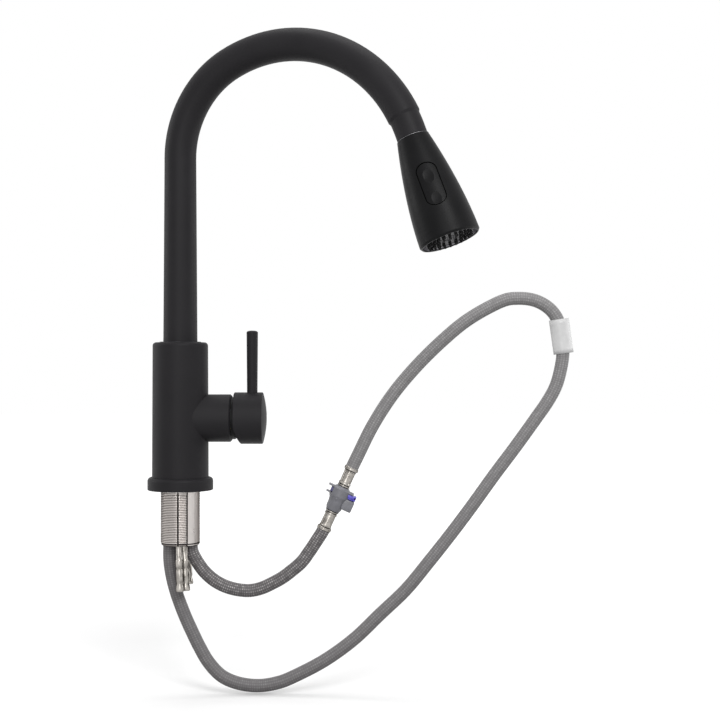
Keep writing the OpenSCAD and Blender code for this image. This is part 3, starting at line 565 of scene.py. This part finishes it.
def seal_rings(name, place):
    """Black rubber rings in the two grooves of a ferrule."""
    bm = bmesh.new()
    for z in GROOVES:
        lathe(bm, [(4.3, z), (4.7, z), (4.8, z + 0.1), (4.8, z + 0.4), (4.7, z + 0.5),
                   (4.3, z + 0.5)], steps=64)
    return finish_mesh(name, bm, place)


upper_seals = seal_rings("upper_ferrule_seals", CONNECTOR)
lower_seals = seal_rings("lower_ferrule_seals", LOWER_END)
for piece in (upper_seals, lower_seals):
    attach(piece, "body")
    dress(black_rubber, piece.name)
for piece, node in ((upper_ferrule, "upper_ferrule"), (lower_ferrule, "lower_ferrule")):
    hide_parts(node)
    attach(piece, "body")
    dress(turned_steel, piece.name)

for piece, node, slot in (
    (pullout_hose, "pullout_hose", "grey_braid"), (outlet_hose, "outlet_hose", "dark_braid"),
):
    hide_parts(node)
    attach(piece, "body")

# ---------- snap connector ----------


def arc_block(bm, r_in, r_out, low, high, start, angle, steps=40):
    """Part of a ring between two heights in millimetres, from `start` through `angle` degrees."""
    ray = Matrix.Rotation(math.radians(start), 4, "Z")
    corners = [(r_in, low), (r_out, low), (r_out, high), (r_in, high)]
    face = bm.faces.new([bm.verts.new(ray @ mm(r, 0, z)) for r, z in corners])
    bmesh.ops.spin(bm, geom=[face, *face.edges, *face.verts], cent=(0, 0, 0), axis=(0, 0, 1),
                   angle=math.radians(angle), steps=steps, use_merge=False, use_duplicate=False)
    bmesh.ops.remove_doubles(bm, verts=bm.verts, dist=1e-7)


def mould_connector_shell():
    """Moulded barrel with an open window for the clip, and the lobe that guards its tab."""
    bm = bmesh.new()
    lathe(bm, [
        (4.7, 38.5), (4.7, 16.5), (5.8, 16.5), (6.1, 16.8), (6.3, 17.3), (8.3, 18.3),
        (8.7, 18.8), (8.7, 19.3), (7.2, 19.5), (7.2, 24.1), (8.7, 24.4), (8.7, 25.4),
        (8.3, 26.4), (7.3, 28.2), (6.8, 31.0), (6.7, 35.4), (6.2, 36.9), (5.8, 37.8),
        (5.6, 38.5)], steps=64)
    # the window is open at the far side only
    arc_block(bm, 7.0, 8.7, 19.2, 24.6, 38, 284)
    bmesh.ops.recalc_face_normals(bm, faces=bm.faces)
    # the lobe below the tab, its web to the barrel and the roof above the tab
    block(bm, (-14.3, -5.6, 24.3), (-5.0, 5.6, 33.9), 1.1)
    block(bm, (-11.0, -5.6, 18.0), (-4.0, 5.6, 19.9), 0.7)
    # two lips of the window
    block(bm, (6.4, -4.2, 17.9), (11.9, 4.2, 19.2), 0.4)
    block(bm, (7.6, -4.2, 23.9), (11.8, 4.2, 25.0), 0.4)
    # the gate's mark, where the mould was filled
    rod(bm, (1.2, -8.5, 27.2), (1.2, -8.1, 27.2), 0.7, 0.9, 0.1, segments=24)
    keep_crisp(bm, 35)
    return finish_mesh("connector_shell", bm, CONNECTOR)


def mould_release_clip():
    """The clip's tab, with its turned-down end and the step under it."""
    bm = bmesh.new()
    block(bm, (-13.9, -5.5, 20.1), (-6.4, 5.5, 22.6), 0.5)
    block(bm, (-13.9, -5.5, 19.6), (-12.0, 5.5, 23.7), 0.5)
    block(bm, (-12.4, -4.6, 22.2), (-6.4, 4.6, 23.9), 0.3)
    return finish_mesh("release_clip", bm, CONNECTOR)


def mould_clip_end():
    """The clip's far end, which looks out of the window between the two lips."""
    bm = bmesh.new()
    block(bm, (5.4, -3.6, 19.7), (8.8, 3.6, 23.7), 0.5)
    return finish_mesh("clip_end", bm, CONNECTOR)


connector_shell = mould_connector_shell()
release_clip = mould_release_clip()
clip_end = mould_clip_end()
connector_seal = turned(
    "connector_seal", [(4.6, 38.0), (5.55, 38.0), (5.75, 38.2), (5.75, 38.6), (5.55, 38.8),
                       (4.6, 38.8)], CONNECTOR, steps=64)
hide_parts("connector_body")
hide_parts("connector_clip")
for piece, slot, material in (
    (connector_shell, "grey_plastic", grey_polypropylene),
    (release_clip, "blue_plastic", blue_acetal),
    (clip_end, "blue_plastic", dark_acetal),
    (connector_seal, "black_rubber", black_rubber),
):
    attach(piece, "body")
    dress(material, piece.name)

# ---------- supply tails ----------

# radius and depth below the top of the end fitting: crimp, waist, barrel, waist, flared end
TAIL_END = [
    (2.3, 0), (2.8, 0.7), (3.0, 1.6), (3.0, 5.8), (2.5, 7.0), (2.5, 8.2), (2.9, 9.4),
    (2.95, 18.4), (2.6, 19.7), (2.6, 20.6), (3.15, 22.4), (3.45, 24.6), (3.45, 26.2), (3.1, 26.8),
]
TAIL_TOP = 12
TAIL_R = 2.3
TAIL_BORE_R = 1.5
FITTING_TOP = -57.2


def bent_tail(name, x, y, length, sway):
    """A tail pipe with its end fitting. `sway` is its move to the right at points of its height."""
    scale = length / TAIL_END[-1][1]
    outer = [(TAIL_R, z) for z in (TAIL_TOP, -8, -20, -33, -46)]
    outer += [(r, FITTING_TOP - t * scale) for r, t in TAIL_END]
    end = outer[-1][1]
    bm = bmesh.new()
    lathe(bm, [(TAIL_BORE_R, TAIL_TOP), *outer, (1.8, end), (TAIL_BORE_R, end + 0.4)], steps=48)
    for vert in bm.verts:
        z = vert.co.z / MM
        for (z_a, move_a), (z_b, move_b) in zip(sway, sway[1:]):
            if z_b <= z <= z_a:
                share = (z_a - z) / (z_a - z_b)
                vert.co.x += (move_a + (move_b - move_a) * share) * MM
                break
    keep_crisp(bm, 50)
    return finish_mesh(name, bm, Matrix.Translation(mm(x, y, 0)))


for name, node, x, y, length, sway in (
    ("hot_tail_pipe", "hot_tail", 0, -11.6, 26.6, ((12, 0), (-46, 0), (-90, 1.6))),
    ("cold_tail_pipe", "cold_tail", 5.3, -6.8, 26.6,
     ((12, 0), (-20, 0), (-46, -1.6), (-62, -0.4), (-90, 0.4))),
    ("rear_tail_pipe", "rear_tail", 5.2, 10, 23.6, ((12, 0), (-46, 0), (-90, 1.2))),
):
    tail = bent_tail(name, x, y, length, sway)
    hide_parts(node)
    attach(tail, "body")
    dress(turned_steel, name)

# ---------- painted highlight along the edge where the head docks ---

# a thin ring in the pale satin plating, 0.25 mm of which shows between the head and the spout: a
# pale line put where the dock's edge catches the light, a painted highlight
dock_edge_highlight = turned("dock_edge_highlight", [(11.2, 0.03), (12.94, 0.03), (12.98, 0.08), (12.98, 0.24),
                                 (12.94, 0.28), (11.2, 0.28)], HEAD)
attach(dock_edge_highlight, "head")
dress(satin_plating, "dock_edge_highlight")

# ---------- shoulder where the tube steps down to the collar ----------


def bend(radius, angle):
    """The move along one bend of the spout, in its plane."""
    return (Matrix.Translation(mm(radius, 0, 0)) @ Matrix.Rotation(math.radians(angle), 4, "Y")
            @ Matrix.Translation(mm(-radius, 0, 0)))


RISER_TOP = 278.6
TUBE_END = (SPOUT @ Matrix.Translation(mm(0, 0, RISER_TOP))
            @ bend(82.5, 65.8) @ bend(121.2, 87.0))
tube_shoulder = turned("tube_shoulder", [(12.1, 0), (13.27, 0), (13.2, 0.3), (12.5, 1.7),
                                         (12.32, 2.4), (12.1, 2.4)], TUBE_END, sharp=60)
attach(tube_shoulder, "spout")
dress(powder_coat, "tube_shoulder")

# ---------- materials on the frame ----------

dress(powder_coat, "body_casting", "handle_cap", "lever", "spout_tube", "spout_collar")
dress(black_abs, "head_shell", "spray_toggle", "trim_ring")
dress(black_rubber, "base_seal", "hose_washer", "base_seals", "nozzle_mat", "screw_plug",
      "connector_o_ring")
dress(threaded_steel, "shank_thread")
dress(turned_steel, "spout_clip", "toggle_pin", "stem", "stem_pin", "set_screw", "hose_nut")
dress(dark_nylon, "swivel_bush_upper", "head_core", "nozzle_plate", "aerator")
dress(white_acetal, "swivel_bush_lower", "dock_insert", "head_check_valve", "diverter_spool",
      "cartridge_base", "cartridge_housing", "cartridge_rotor")
dress(alumina, "fixed_disc", "moving_disc")
dress(turned_brass, "cartridge_nut", "connector_stem")
dress(satin_plating, "face_ring")
dress(film, "hose_sleeve_film")
dress(fine_braid, "pullout_hose_cover")
dress(coarse_braid, "outlet_hose_cover")
dress(inner_braid, "spout_hose", "body_hose", "head_hose", "outlet_hose_top")

# ---------- floor, light and view ----------

# 2 mm under the lowest point of the hoses
FLOOR_Z = -0.1725
FLOOR_SIZE = 6.0


def seen_directly(tree):
    """One for rays from the camera, off a glossy surface or through clear matter."""
    path = tree.nodes.new("ShaderNodeLightPath")
    total = path.outputs["Is Camera Ray"]
    for name in ("Is Glossy Ray", "Is Transmission Ray"):
        either = tree.nodes.new("ShaderNodeMath")
        either.operation = "MAXIMUM"
        tree.links.new(total, either.inputs[0])
        tree.links.new(path.outputs[name], either.inputs[1])
        total = either.outputs["Value"]
    return total


# card floor: light that bounces off it is a grey card's; seen directly it is white and keeps the
# soft shadow of what stands over it
card, shader = new_material("card", "#8C8C8C", Roughness=0.9, Specular_IOR_Level=0.0)
tree = card.node_tree
white = add(card, "ShaderNodeBsdfDiffuse", inputs={"Color": linear("#E1E1E1")})
# the glow makes up for the lamps, which light the floor's middle more than its rim
spot = add(card, "ShaderNodeTexCoord").outputs["Object"]
reach = add(card, "ShaderNodeVectorMath", {0: spot}, operation="LENGTH").outputs["Value"]
fill = add(card, "ShaderNodeMapRange", {"Value": reach},
           {"From Min": 0.3, "From Max": 1.6, "To Min": 0.16, "To Max": 0.6})
glow = add(card, "ShaderNodeEmission", {"Strength": fill.outputs["Result"]},
           {"Color": linear("#FFFFFF")})
lit = add(card, "ShaderNodeAddShader", {0: white.outputs["BSDF"], 1: glow.outputs["Emission"]})
mix = tree.nodes.new("ShaderNodeMixShader")
tree.links.new(seen_directly(tree), mix.inputs["Fac"])
tree.links.new(shader.outputs["BSDF"], mix.inputs[1])
tree.links.new(lit.outputs["Shader"], mix.inputs[2])
tree.links.new(mix.outputs["Shader"], tree.nodes["Material Output"].inputs["Surface"])
bm = bmesh.new()
bmesh.ops.create_grid(bm, x_segments=1, y_segments=1, size=FLOOR_SIZE)
floor = finish_mesh("floor", bm, Matrix.Translation((0, 0, FLOOR_Z)), smooth=False)
floor.data.materials.append(card)

world = bpy.data.worlds.new("studio")
world.use_nodes = True
bpy.context.scene.world = world
tree = world.node_tree
room = tree.nodes["Background"]
room.inputs["Color"].default_value = linear("#FFFFFF")
room.inputs["Strength"].default_value = 0.6
sweep = tree.nodes.new("ShaderNodeBackground")
sweep.inputs["Color"].default_value = linear("#FFFFFF")
sweep.inputs["Strength"].default_value = 1.0
mix = tree.nodes.new("ShaderNodeMixShader")
tree.links.new(seen_directly(tree), mix.inputs["Fac"])
tree.links.new(room.outputs["Background"], mix.inputs[1])
tree.links.new(sweep.outputs["Background"], mix.inputs[2])
tree.links.new(mix.outputs["Shader"], tree.nodes["World Output"].inputs["Surface"])


def softbox(name, place, target, width, height, power):
    """An area lamp that points at the target, its height upright."""
    data = bpy.data.lights.new(name, "AREA")
    data.shape = "RECTANGLE"
    data.size = width
    data.size_y = height
    data.energy = power
    lamp = bpy.data.objects.new(name, data)
    lamp.location = place
    lamp.rotation_euler = (Vector(target) - Vector(place)).to_track_quat("-Z", "Y").to_euler()
    bpy.context.scene.collection.objects.link(lamp)


softbox("front", (0.7, -1.9, 1.5), (0.1, 0, 0.1), 0.9, 0.9, 30)
softbox("strip", (-0.22, -2.2, 0.35), (0.0, 0, 0.15), 0.3, 1.5, 13)
softbox("rim_left", (-1.7, 0.4, 0.5), (0.1, 0, 0.1), 0.8, 0.8, 6)
softbox("rim_right", (2.0, 0.4, 0.4), (0.1, 0, 0.1), 0.8, 0.8, 8)
softbox("top", (0.1, 0.2, 2.0), (0.1, 0, 0.1), 1.2, 1.2, 12)

bpy.context.scene.view_settings.view_transform = "Standard"
